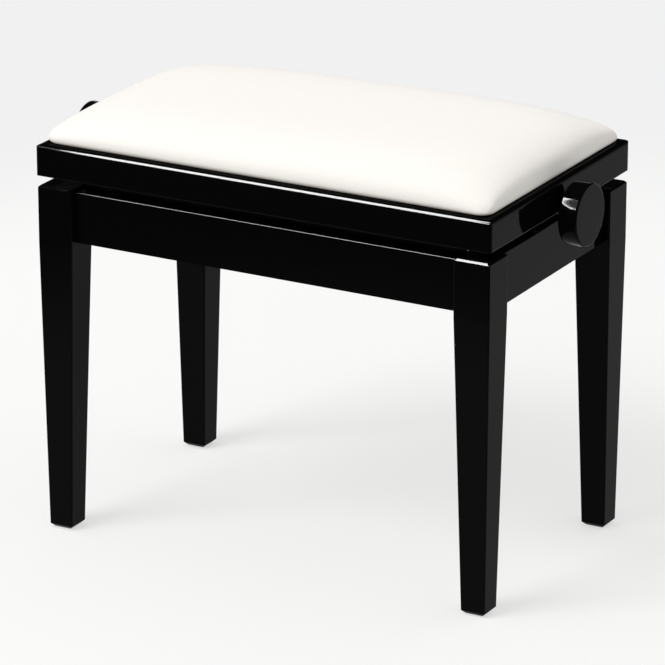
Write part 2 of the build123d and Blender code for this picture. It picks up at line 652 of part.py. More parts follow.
def lower_pivot_rod():
    """Rod through the fixed lower ends of the outer arms, held in the lower tracks' backs."""
    reach = APRON_INNER_Y - SIDE_PLAY
    return along_y((-reach, reach), ROD_DIAMETER / 2, -PIVOT_X, LOWER_Z)


def spacer(y, x, z):
    """Rear spacer tube on a rod."""
    return tube_y(y, SPACER_DIAMETER / 2, ROD_DIAMETER / 2 + RUN_FIT, x, z)


def lower_pivot_spacer():
    """Rear spacer between the outer arm and the lower track's back."""
    return spacer((OUTER_ARM_Y[1] + SIDE_PLAY, LOWER_BACK - SIDE_PLAY), -PIVOT_X, LOWER_Z)


def upper_pivot_spacer():
    """Rear spacer between the inner arm and the upper track's back."""
    return spacer((INNER_ARM_Y[1] + SIDE_PLAY, UPPER_BACK - SIDE_PLAY), -PIVOT_X, SPINDLE_Z)


def clip(arm_face, x):
    """Rear retaining clip on a lower rod, on the inner side of an arm."""
    y = (arm_face - SIDE_PLAY - CLIP_THICKNESS, arm_face - SIDE_PLAY)
    return tube_y(y, CLIP_DIAMETER / 2, ROD_DIAMETER / 2 + RUN_FIT, x, LOWER_Z)


def cross_bar(x, shoulder, reach, bore):
    """Square bar at the spindle's height with turned ends, bored for the spindle."""
    half = BAR_SECTION / 2
    shape = block((x - half, x + half), (-shoulder, shoulder), (SPINDLE_Z - half, SPINDLE_Z + half))
    shape = chamfer(shape.edges().filter_by(Axis.Y), BAR_SECTION / 12)
    shape += along_y((-reach, reach), ROD_DIAMETER / 2, x, SPINDLE_Z)
    return shape - along_x((x - half, x + half), bore)


def upper_pivot_bar():
    """Bar through the fixed upper ends of the inner arms, held in the upper tracks' backs."""
    shoulder = INNER_ARM_Y[0] - SIDE_PLAY
    bore = SPINDLE_DIAMETER / 2 + BORE_PLAY
    return cross_bar(-PIVOT_X, shoulder, RAIL_INNER_Y - SIDE_PLAY, bore)


def nut_bar():
    """Bar that the spindle's thread draws along the seat, with the outer arms' ends on it."""
    shoulder = OUTER_ARM_Y[0] - SIDE_PLAY
    return cross_bar(PIVOT_X, shoulder, UPPER_BACK - SIDE_PLAY, SPINDLE_DIAMETER / 2 + RUN_FIT)


def roller(arm_face, mouth, back, radius, z):
    """Rear roller: a neck beside the arm and a barrel inside the track."""
    y_neck = (arm_face + SIDE_PLAY, mouth + SIDE_PLAY)
    y_barrel = (mouth + SIDE_PLAY, back - 2 * SIDE_PLAY)
    bore = ROD_DIAMETER / 2 + RUN_FIT
    shape = along_y(y_neck, SPACER_DIAMETER / 2, PIVOT_X, z) + along_y(y_barrel, radius, PIVOT_X, z)
    return shape - along_y((y_neck[0], y_barrel[1]), bore, PIVOT_X, z)


def nut_roller():
    """Rear roller of the nut bar in the upper track."""
    return roller(OUTER_ARM_Y[1], UPPER_MOUTH, UPPER_BACK, TRACK_OPENING / 2 - SLOT_PLAY, SPINDLE_Z)


def slide_roller():
    """Rear roller of the slide rod in the lower track, with room for the linkage's stray."""
    radius = TRACK_OPENING / 2 - SLOT_PLAY - LINK_DROP
    return roller(INNER_ARM_Y[1], LOWER_MOUTH, LOWER_BACK, radius, LOWER_Z)


def slide_rod():
    """Rod through the sliding lower ends of the inner arms."""
    reach = LOWER_BACK - SIDE_PLAY
    return along_y((-reach, reach), ROD_DIAMETER / 2, PIVOT_X, LOWER_Z)


KNOB_BACK = FRAME_HALF_X + KNOB_GAP
KNOB_FACE = KNOB_BACK + KNOB_THICKNESS


def spindle():
    """Spindle from knob to knob, with a relief groove at each end of its thread."""
    end = KNOB_BACK + KNOB_BORE - SIDE_PLAY
    radius = SPINDLE_DIAMETER / 2
    shape = chamfer(along_x((-end, end), radius).edges(), radius / 6)
    half_nut = BAR_SECTION / 2 + THREAD_SPARE
    low = PIVOT_X - NUT_TRAVEL - half_nut
    high = PIVOT_X + half_nut
    for start in (low - THREAD_RELIEF, high):
        groove = along_x((start, start + THREAD_RELIEF), 2 * radius)
        shape -= groove - along_x((start, start + THREAD_RELIEF), THREAD_ROOT / 2)
    return shape


def knob():
    """Right knob: a turned disc with a blind bore for the spindle and a hole for its grub screw."""
    shape = along_x((KNOB_BACK, KNOB_FACE), KNOB_DIAMETER / 2)
    rims = shape.edges().filter_by(GeomType.CIRCLE).sort_by(Axis.X)
    shape = chamfer(rims[-1], KNOB_FRONT_EDGE)
    rims = shape.edges().filter_by(GeomType.CIRCLE).sort_by(Axis.X)
    shape = chamfer(rims[0], KNOB_BACK_EDGE)
    shape -= along_x((KNOB_BACK, KNOB_BACK + KNOB_BORE), SPINDLE_DIAMETER / 2 + RUN_FIT)
    hole_x = KNOB_BACK + KNOB_BORE / 2
    return shape - bar((hole_x, 0, SPINDLE_Z), (0, 0, -1), KNOB_DIAMETER, GRUB_DIAMETER / 2 + RUN_FIT)


def knob_grub_screw():
    """Right grub screw, pressed on the spindle from below."""
    top = SPINDLE_Z - SPINDLE_DIAMETER / 2 - RUN_FIT
    return bar((KNOB_BACK + KNOB_BORE / 2, 0, top), (0, 0, -1), GRUB_LENGTH, GRUB_DIAMETER / 2)


def thrust_collar():
    """Right collar on the spindle, beside the bush's flange."""
    shape = along_x((COLLAR_FACE - COLLAR_WIDTH, COLLAR_FACE), COLLAR_DIAMETER / 2)
    return shape - along_x((COLLAR_FACE - COLLAR_WIDTH, COLLAR_FACE), SPINDLE_DIAMETER / 2 + RUN_FIT)


def pieces():
    """Every piece of the stool by the name of its node."""
    nodes = {}
    shapes = {"leg": leg(), "glide": glide(), "corner_bracket": corner_bracket()}
    for name, shape in shapes.items():
        for corner, signs in CORNERS.items():
            nodes[f"{name}_{corner}"] = to_corner(shape, signs)
    nodes["hanger_bolts"] = at_corners(hanger_bolt())
    nodes["bolt_washers"] = at_corners(bolt_washer())
    nodes["bolt_nuts"] = at_corners(bolt_nut())
    on_brackets = [at_corners(screw(*place, BRACKET_SCREW)) for place in bracket_screws()]
    nodes["bracket_screws"] = Compound([s for group in on_brackets for s in group.solids()])

    frame = seat_frame()
    shapes = {"apron": long_apron(), "lower_track": lower_track(), "upper_track": upper_track(),
              "arm_outer": outer_arm(), "arm_inner": inner_arm()}
    for side, sign in LONG_SIDES.items():
        for name, shape in shapes.items():
            nodes[f"{name}_{side}"] = to_corner(shape, (1, sign))
        nodes[f"seat_rail_{side}"] = mitred(frame, True, sign)
    shapes = {"apron": short_apron(), "bearing_plate": bearing_plate(),
              "spindle_bush": spindle_bush(), "knob": knob()}
    for side, sign in SHORT_SIDES.items():
        for name, shape in shapes.items():
            nodes[f"{name}_{side}"] = to_corner(shape, (sign, 1))
        nodes[f"seat_rail_{side}"] = mitred(frame, False, sign)

    nodes["lower_track_screws"] = screw_group(lower_track_screw_points(), (0, 1, 0), TRACK_SCREW)
    nodes["upper_track_screws"] = screw_group(upper_track_screw_points(), (0, 1, 0), TRACK_SCREW)
    nodes["seat_board"] = seat_board()
    nodes["seat_foam"] = seat_foam()
    nodes["seat_cover"] = seat_cover()
    nodes["board_screws"] = board_screws()
    nodes["bearing_plate_screws"] = bearing_plate_screws()
    nodes["lower_pivot_rod"] = lower_pivot_rod()
    nodes["lower_pivot_spacers"] = both_depths(lower_pivot_spacer())
    nodes["lower_pivot_clips"] = both_depths(clip(OUTER_ARM_Y[0], -PIVOT_X))
    nodes["upper_pivot_bar"] = upper_pivot_bar()
    nodes["upper_pivot_spacers"] = both_depths(upper_pivot_spacer())
    nodes["arm_rivets"] = both_depths(arm_rivet())
    nodes["slide_rod"] = slide_rod()
    nodes["slide_rollers"] = both_depths(slide_roller())
    nodes["slide_clips"] = both_depths(clip(INNER_ARM_Y[0], PIVOT_X))
    nodes["nut_bar"] = nut_bar()
    nodes["nut_rollers"] = both_depths(nut_roller())
    nodes["spindle"] = spindle()
    nodes["knob_grub_screws"] = both_ends(knob_grub_screw())
    nodes["thrust_collars"] = both_ends(thrust_collar())
    return nodes


def report_linkage():
    """Print what the lift does: pivots, arm angles, nut travel and spindle turns."""
    turns = NUT_TRAVEL / THREAD_PITCH
    print(f"pivot x {-PIVOT_X:.4f}, lower z {LOWER_Z:.4f}, spindle z {SPINDLE_Z:.4f}")
    print(f"arm length {ARM_LENGTH:.3f}, angles {ARM_ANGLE_LOW:.6f} to {ARM_ANGLE_HIGH:.6f} rad")
    print(f"nut travel {NUT_TRAVEL:.4f}, spindle turns {turns:.4f}")
    print(f"stray halfway up: {LINK_DROP:.3f} along Z, {LINK_PULL:.3f} along X")


def main():
    """Write each piece to its own file."""
    os.makedirs("parts", exist_ok=True)
    for name, shape in pieces().items():
        export_step(shape, f"parts/{name}.step")
    report_linkage()


if __name__ == "__main__":
    main()
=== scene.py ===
"""Dresses a piano stool, whose seat is raised by a screw and a scissor lift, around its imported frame.

Every piece is in metres, in the frame's own axes, and moves with one of the frame's bodies.
"""

from __future__ import annotations

import json
import logging
import math
from dataclasses import dataclass, field
from enum import Enum

import bmesh
import bpy
from mathutils import Matrix, Vector

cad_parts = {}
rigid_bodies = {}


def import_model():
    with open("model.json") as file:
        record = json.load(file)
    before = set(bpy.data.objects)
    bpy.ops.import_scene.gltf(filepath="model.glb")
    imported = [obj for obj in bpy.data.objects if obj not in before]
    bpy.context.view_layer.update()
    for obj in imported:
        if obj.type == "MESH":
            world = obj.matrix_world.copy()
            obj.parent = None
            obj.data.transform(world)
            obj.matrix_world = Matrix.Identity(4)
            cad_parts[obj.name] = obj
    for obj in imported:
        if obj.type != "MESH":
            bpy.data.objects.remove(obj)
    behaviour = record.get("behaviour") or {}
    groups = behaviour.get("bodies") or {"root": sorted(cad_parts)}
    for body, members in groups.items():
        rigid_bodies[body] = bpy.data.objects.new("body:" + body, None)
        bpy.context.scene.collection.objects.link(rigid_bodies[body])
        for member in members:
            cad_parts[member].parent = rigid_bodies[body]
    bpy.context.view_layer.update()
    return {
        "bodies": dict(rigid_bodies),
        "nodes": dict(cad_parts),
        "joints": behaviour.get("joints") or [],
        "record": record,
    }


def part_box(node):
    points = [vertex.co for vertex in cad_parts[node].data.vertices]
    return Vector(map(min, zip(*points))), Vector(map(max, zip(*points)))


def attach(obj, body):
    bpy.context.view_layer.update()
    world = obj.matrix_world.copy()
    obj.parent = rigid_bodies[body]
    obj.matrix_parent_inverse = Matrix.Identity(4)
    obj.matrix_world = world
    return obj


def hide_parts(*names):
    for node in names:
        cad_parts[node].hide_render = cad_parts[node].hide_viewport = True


LOG = logging.getLogger("piano_stool")
MM = 0.001
TINY = 1e-9  # keeps a division by a length of nothing from failing
WELD = 0.01 * MM  # points of a turned shape that are nearer than this become one
WAVE_LENGTH = math.tau / 20  # of the wave texture at a scale of 1
COLOUR_A, COLOUR_B, COLOUR_OUT = 6, 7, 2  # sockets of a mix node that blends colours
NUMBER_A, NUMBER_B = 2, 3  # sockets of a mix node that blends numbers
IMAGE_SIDE = 665
SCREW_GROUPS = {
    "board_screws", "bracket_screws", "lower_track_screws", "upper_track_screws", "bearing_plate_screws",
}


class Slot(Enum):
    """Material slots of the record."""

    LACQUER = "black_lacquer"
    VELOUR = "velour"
    FOAM = "foam"
    PLYWOOD = "plywood"
    BLACK_STEEL = "black_steel"
    ZINC = "zinc_steel"
    NYLON = "nylon"
    BRASS = "brass"
    GLIDE = "glide_plastic"


class Side(Enum):
    """Ends of the spindle that carry a knob."""

    LEFT = "left"
    RIGHT = "right"


def hex_linear(code: str) -> tuple[float, float, float, float]:
    """Turn an sRGB hex colour into linear light.

    Args:
        code: Six hex digits after a hash sign.

    Returns:
        Linear red, green and blue, with an alpha of 1.
    """
    shares = [int(code[i:i + 2], 16) / 255 for i in (1, 3, 5)]
    linear = [s / 12.92 if s <= 0.04045 else ((s + 0.055) / 1.055) ** 2.4 for s in shares]
    return (linear[0], linear[1], linear[2], 1.0)


def per_metre(size_mm: float) -> float:
    """Texture scale of a pattern whose feature has the given size in millimetres."""
    return 1.0 / (size_mm * MM)


def add_node(
    tree: bpy.types.NodeTree,
    kind: str,
    settings: dict | None = None,
    links: dict | None = None,
) -> bpy.types.Node:
    """Add one node, set it up and link its inputs.

    Args:
        tree: Node tree that gets the node.
        kind: Blender's name for the type of node.
        settings: Values by the name or number of an input, or by the name of an attribute.
        links: Output sockets by the name or number of the input that they feed.

    Returns:
        The new node.
    """
    node = tree.nodes.new(kind)
    for name, value in (settings or {}).items():
        if isinstance(name, int) or name in node.inputs:
            node.inputs[name].default_value = value
        else:
            setattr(node, name, value)
    for name, source in (links or {}).items():
        tree.links.new(source, node.inputs[name])
    return node


@dataclass(frozen=True)
class Finish:
    """A finish: what the material is, and the nodes that draw it."""

    label: str
    colour: str
    roughness: float

    def material(self) -> bpy.types.Material:
        """Give the finish's material, made on first use.

        Returns:
            The material with its nodes.
        """
        found = bpy.data.materials.get(self.label)
        if found is not None:
            return found
        found = bpy.data.materials.new(self.label)
        found.use_nodes = True
        tree = found.node_tree
        tree.nodes.clear()
        plain = {"Base Color": hex_linear(self.colour), "Roughness": self.roughness}
        shader = add_node(tree, "ShaderNodeBsdfPrincipled", plain)
        place = add_node(tree, "ShaderNodeTexCoord").outputs["Object"]
        self.draw(tree, shader, place)
        add_node(tree, "ShaderNodeOutputMaterial", links={"Surface": shader.outputs["BSDF"]})
        return found

    def draw(self, tree: bpy.types.NodeTree, shader: bpy.types.Node, place: bpy.types.NodeSocket) -> None:
        """Add the finish's own nodes.

        Args:
            tree: The material's node tree.
            shader: The surface shader.
            place: Object coordinates in metres.
        """


@dataclass(frozen=True)
class PolishedLacquer(Finish):
    """Polyester lacquer, sprayed thick and polished: deep black with mirror reflections."""

    peel_mm: float = 6.0
    haze_mm: float = 45.0
    haze_share: float = 0.4  # by which the haze raises and lowers the roughness
    ior: float = 1.5
    specular: float = 0.03

    def draw(self, tree: bpy.types.NodeTree, shader: bpy.types.Node, place: bpy.types.NodeSocket) -> None:
        """Add a trace of orange peel and of polishing haze.

        Args:
            tree: The material's node tree.
            shader: The surface shader.
            place: Object coordinates in metres.
        """
        shader.inputs["IOR"].default_value = self.ior
        shader.inputs["Specular IOR Level"].default_value = self.specular
        haze = add_node(tree, "ShaderNodeTexNoise", {"Scale": per_metre(self.haze_mm), "Detail": 3.0},
                        {"Vector": place})
        gloss = add_node(tree, "ShaderNodeMapRange",
                         {"To Min": self.roughness * (1.0 - self.haze_share),
                          "To Max": self.roughness * (1.0 + self.haze_share)},
                         {"Value": haze.outputs["Fac"]})
        peel = add_node(tree, "ShaderNodeTexNoise", {"Scale": per_metre(self.peel_mm), "Detail": 0.0},
                        {"Vector": place})
        bump = add_node(tree, "ShaderNodeBump", {"Strength": 0.02, "Distance": 0.1 * MM},
                        {"Height": peel.outputs["Fac"]})
        tree.links.new(gloss.outputs["Result"], shader.inputs["Roughness"])
        tree.links.new(bump.outputs["Normal"], shader.inputs["Normal"])


@dataclass(frozen=True)
class ShortVelour(Finish):
    """Woven velour with a short dense pile: soft, faintly mottled, paler where it is seen edge on."""

    shade: str = "#F6F2EC"
    painted_shade_colour: str = "#E6DFD4"  # painted shade: the cover is drawn darker near the ledge, where it rolls under
    painted_shade_heights: tuple[float, float] = (448.5 * MM, 456.0 * MM)  # the painted shade fades out between these heights
    pile_mm: float = 1.5  # real pile is finer, and is drawn coarse enough to show
    pile_share: float = 0.65  # of the mottle
    stroke_mm: float = 14.0
    stroke_share: float = 0.12
    even_share: float = 0.115  # keeps the middle of the mottle at a half
    mottle: tuple[float, float] = (0.32, 0.68)  # spread out from shade to colour
    sheen: float = 0.25
    sheen_roughness: float = 0.5
    specular: float = 0.1

    def draw(self, tree: bpy.types.NodeTree, shader: bpy.types.Node, place: bpy.types.NodeSocket) -> None:
        """Add the pile's mottle, its brushed patches, its sheen and a painted shade towards the ledge.

        Args:
            tree: The material's node tree.
            shader: The surface shader.
            place: Object coordinates in metres.
        """
        pile = add_node(tree, "ShaderNodeTexNoise",
                        {"Scale": per_metre(self.pile_mm), "Detail": 3.0, "Roughness": 0.65},
                        {"Vector": place})
        stroke = add_node(tree, "ShaderNodeTexNoise", {"Scale": per_metre(self.stroke_mm), "Detail": 2.0},
                          {"Vector": place})
        patches = add_node(tree, "ShaderNodeMath",
                           {"operation": "MULTIPLY_ADD", 1: self.stroke_share, 2: self.even_share},
                           {0: stroke.outputs["Fac"]})
        both = add_node(tree, "ShaderNodeMath", {"operation": "MULTIPLY_ADD", 1: self.pile_share},
                        {0: pile.outputs["Fac"], 2: patches.outputs[0]})
        spread = add_node(tree, "ShaderNodeMapRange",
                          {"From Min": self.mottle[0], "From Max": self.mottle[1]},
                          {"Value": both.outputs[0]})
        tone = add_node(tree, "ShaderNodeMix",
                        {"data_type": "RGBA", COLOUR_A: hex_linear(self.shade),
                         COLOUR_B: hex_linear(self.colour)},
                        {0: spread.outputs["Result"]})
        bump = add_node(tree, "ShaderNodeBump", {"Strength": 0.35, "Distance": 0.5 * MM},
                        {"Height": pile.outputs["Fac"]})
        shader.inputs["Sheen Weight"].default_value = self.sheen
        shader.inputs["Sheen Roughness"].default_value = self.sheen_roughness
        shader.inputs["Specular IOR Level"].default_value = self.specular
        # Painted shade: the colour darkens towards the ledge, from the upper height down to the lower one.
        height = add_node(tree, "ShaderNodeSeparateXYZ", links={0: place}).outputs["Z"]
        low, high = self.painted_shade_heights
        tucked = add_node(tree, "ShaderNodeMapRange",
                          {"interpolation_type": "SMOOTHSTEP", "From Min": low, "From Max": high,
                           "To Min": 1.0, "To Max": 0.0}, {"Value": height})
        painted_shade_tone = add_node(tree, "ShaderNodeMix", {"data_type": "RGBA", COLOUR_B: hex_linear(self.painted_shade_colour)},
                        {0: tucked.outputs["Result"], COLOUR_A: tone.outputs[COLOUR_OUT]})
        tree.links.new(painted_shade_tone.outputs[COLOUR_OUT], shader.inputs["Base Color"])
        tree.links.new(bump.outputs["Normal"], shader.inputs["Normal"])


@dataclass(frozen=True)
class PlatedSteel(Finish):
    """Bright zinc plate or turned brass: metal with a cloudy, slightly uneven gloss."""

    cloud_mm: float = 7.0
    grain_mm: float = 0.9
    dull: str = "#A9ADB0"
    cloud_share: float = 0.3  # by which the clouds raise and lower the roughness

    def draw(self, tree: bpy.types.NodeTree, shader: bpy.types.Node, place: bpy.types.NodeSocket) -> None:
        """Add clouds to the colour and gloss, and a fine grain.

        Args:
            tree: The material's node tree.
            shader: The surface shader.
            place: Object coordinates in metres.
        """
        shader.inputs["Metallic"].default_value = 1.0
        cloud = add_node(tree, "ShaderNodeTexNoise", {"Scale": per_metre(self.cloud_mm), "Detail": 4.0},
                         {"Vector": place})
        tone = add_node(tree, "ShaderNodeMix",
                        {"data_type": "RGBA", COLOUR_A: hex_linear(self.dull),
                         COLOUR_B: hex_linear(self.colour)},
                        {0: cloud.outputs["Fac"]})
        gloss = add_node(tree, "ShaderNodeMapRange",
                         {"To Min": self.roughness * (1.0 + self.cloud_share),
                          "To Max": self.roughness * (1.0 - self.cloud_share)},
                         {"Value": cloud.outputs["Fac"]})
        grain = add_node(tree, "ShaderNodeTexNoise", {"Scale": per_metre(self.grain_mm), "Detail": 2.0},
                         {"Vector": place})
        bump = add_node(tree, "ShaderNodeBump", {"Strength": 0.08, "Distance": 0.1 * MM},
                        {"Height": grain.outputs["Fac"]})
        tree.links.new(tone.outputs[COLOUR_OUT], shader.inputs["Base Color"])
        tree.links.new(gloss.outputs["Result"], shader.inputs["Roughness"])
        tree.links.new(bump.outputs["Normal"], shader.inputs["Normal"])


@dataclass(frozen=True)
class GrainedCoat(Finish):
    """Powder coat or moulded nylon: even colour with a fine pebbled skin."""

    pebble_mm: float = 1.2
    relief: float = 0.2
    cloud: str = "#101011"
    drift: float = 30.0  # how many pebbles wide the clouds of colour are

    def draw(self, tree: bpy.types.NodeTree, shader: bpy.types.Node, place: bpy.types.NodeSocket) -> None:
        """Add the pebbles and a slow drift of the colour.

        Args:
            tree: The material's node tree.
            shader: The surface shader.
            place: Object coordinates in metres.
        """
        clouds = add_node(tree, "ShaderNodeTexNoise",
                          {"Scale": per_metre(self.drift * self.pebble_mm), "Detail": 2.0},
                          {"Vector": place})
        tone = add_node(tree, "ShaderNodeMix",
                        {"data_type": "RGBA", COLOUR_A: hex_linear(self.cloud),
                         COLOUR_B: hex_linear(self.colour)},
                        {0: clouds.outputs["Fac"]})
        pebble = add_node(tree, "ShaderNodeTexNoise", {"Scale": per_metre(self.pebble_mm), "Detail": 1.0},
                          {"Vector": place})
        bump = add_node(tree, "ShaderNodeBump", {"Strength": self.relief, "Distance": 0.15 * MM},
                        {"Height": pebble.outputs["Fac"]})
        tree.links.new(tone.outputs[COLOUR_OUT], shader.inputs["Base Color"])
        tree.links.new(bump.outputs["Normal"], shader.inputs["Normal"])


@dataclass(frozen=True)
class StainedPlywood(Finish):
    """Birch plywood under a black stain: the long grain and the plies still show as darker lines."""

    dark: str = "#171412"
    grain_mm: tuple[float, float, float] = (140.0, 3.0, 3.0)
    ply_mm: float = 1.6

    def draw(self, tree: bpy.types.NodeTree, shader: bpy.types.Node, place: bpy.types.NodeSocket) -> None:
        """Add the grain along X and the plies up the edge.

        Args:
            tree: The material's node tree.
            shader: The surface shader.
            place: Object coordinates in metres.
        """
        stretch = add_node(tree, "ShaderNodeMapping", {"Scale": [per_metre(s) for s in self.grain_mm]},
                           {"Vector": place})
        grain = add_node(tree, "ShaderNodeTexNoise", {"Scale": 1.0, "Detail": 5.0, "Distortion": 0.4},
                         {"Vector": stretch.outputs["Vector"]})
        plies = add_node(tree, "ShaderNodeTexWave",
                         {"bands_direction": "Z", "Scale": per_metre(self.ply_mm) * WAVE_LENGTH,
                          "Distortion": 0.6},
                         {"Vector": place})
        share = add_node(tree, "ShaderNodeMath", {"operation": "MULTIPLY"},
                         {0: grain.outputs["Fac"], 1: plies.outputs["Fac"]})
        tone = add_node(tree, "ShaderNodeMix",
                        {"data_type": "RGBA", COLOUR_A: hex_linear(self.colour),
                         COLOUR_B: hex_linear(self.dark)},
                        {0: share.outputs[0]})
        bump = add_node(tree, "ShaderNodeBump", {"Strength": 0.15, "Distance": 0.2 * MM},
                        {"Height": grain.outputs["Fac"]})
        tree.links.new(tone.outputs[COLOUR_OUT], shader.inputs["Base Color"])
        tree.links.new(bump.outputs["Normal"], shader.inputs["Normal"])


# The foam has no finish here, because the cushion stands for it.
FINISHES: dict[Slot, Finish] = {
    Slot.LACQUER: PolishedLacquer("polished_black_polyester_lacquer", "#070707", 0.05),
    Slot.VELOUR: ShortVelour("cream_short_pile_velour", "#FDFAF5", 0.9),
    Slot.PLYWOOD: StainedPlywood("black_stained_birch_plywood", "#332D29", 0.65),
    Slot.BLACK_STEEL: GrainedCoat("black_powder_coated_steel", "#18181A", 0.45),
    Slot.ZINC: PlatedSteel("bright_zinc_plated_steel", "#D3D6D8", 0.3),
    Slot.NYLON: GrainedCoat("natural_moulded_nylon", "#DDD7C6", 0.5, pebble_mm=2.0, relief=0.05,
                            cloud="#D2CBB8"),
    Slot.BRASS: PlatedSteel("turned_brass", "#D2AC5A", 0.25, dull="#B08A3C"),
    Slot.GLIDE: GrainedCoat("black_moulded_nylon", "#1B1B1C", 0.55),
}


def keep_mesh(shape: bmesh.types.BMesh, name: str) -> bpy.types.Mesh:
    """Keep a shape as a mesh.

    Args:
        shape: The shape, which is freed.
        name: The mesh's name.

    Returns:
        The new mesh.
    """
    mesh = bpy.data.meshes.new(name)
    shape.to_mesh(mesh)
    shape.free()
    return mesh


def link_piece(data: bpy.types.ID, name: str) -> bpy.types.Object:
    """Put a mesh, a light or a lens into the scene as a new object at the origin.

    Args:
        data: What the object shows, a mesh in the frame's coordinates.
        name: The object's name.

    Returns:
        The new object.
    """
    piece = bpy.data.objects.new(name, data)
    bpy.context.scene.collection.objects.link(piece)
    return piece


def aim(thing: bpy.types.Object, place: tuple[float, ...], target: tuple[float, ...]) -> None:
    """Stand a lamp or the camera at a place and point it at a target.

    Args:
        thing: The lamp or the camera.
        place: Where it stands.
        target: What it points at.
    """
    thing.location = place
    way = Vector(target) - Vector(place)
    thing.rotation_euler = way.to_track_quat("-Z", "Y").to_euler()


def quarter_turn(steps: int) -> list[float]:
    """Angles of a quarter turn in even steps, both ends among them."""
    return [step / steps * math.pi / 2 for step in range(steps + 1)]


def smooth(mesh: bpy.types.Mesh, crease: float = 40.0) -> None:
    """Shade a mesh smooth, with sharp edges where it turns by more than the crease.

    Args:
        mesh: The mesh to shade.
        crease: Angle in degrees.
    """
    for polygon in mesh.polygons:
        polygon.use_smooth = True
    mesh.set_sharp_from_angle(angle=math.radians(crease))


def turn_section(shape: bmesh.types.BMesh, section: list[tuple[float, float]], steps: int) -> None:
    """Spin a half section about the X axis into a closed shell.

    Args:
        shape: Mesh that gets the shell.
        section: Places along the axis and radii, from one end on the axis to the other.
        steps: Steps of the full turn.
    """
    line = [shape.verts.new((x, 0.0, radius)) for x, radius in section]
    edges = [shape.edges.new(pair) for pair in zip(line, line[1:])]
    bmesh.ops.spin(shape, geom=line + edges, cent=(0.0, 0.0, 0.0), axis=(1.0, 0.0, 0.0),
                   angle=math.tau, steps=steps, use_merge=True)
    bmesh.ops.remove_doubles(shape, verts=shape.verts, dist=WELD)
    bmesh.ops.recalc_face_normals(shape, faces=shape.faces)


def cut_away(piece: bpy.types.Object, tool: bmesh.types.BMesh) -> None:
    """Cut a tool's shape out of a piece and keep the result as the piece's mesh.

    Args:
        piece: The piece to cut.
        tool: The shape to take away, which is freed.
    """
    cutter = link_piece(keep_mesh(tool, "tool"), "tool")
    cut = piece.modifiers.new("cut", "BOOLEAN")
    cut.operation = "DIFFERENCE"
    cut.object = cutter
    shown = piece.evaluated_get(bpy.context.evaluated_depsgraph_get())
    result = bpy.data.meshes.new_from_object(shown)
    piece.modifiers.remove(cut)
    piece.data = result
    bpy.data.objects.remove(cutter)


def dress(piece: bpy.types.Object, slot: Slot) -> None:
    """Give a piece the finish of a slot, as its only material.

    Args:
        piece: The piece to dress.
        slot: The record's material slot.
    """
    piece.data.materials.clear()
    piece.data.materials.append(FINISHES[slot].material())


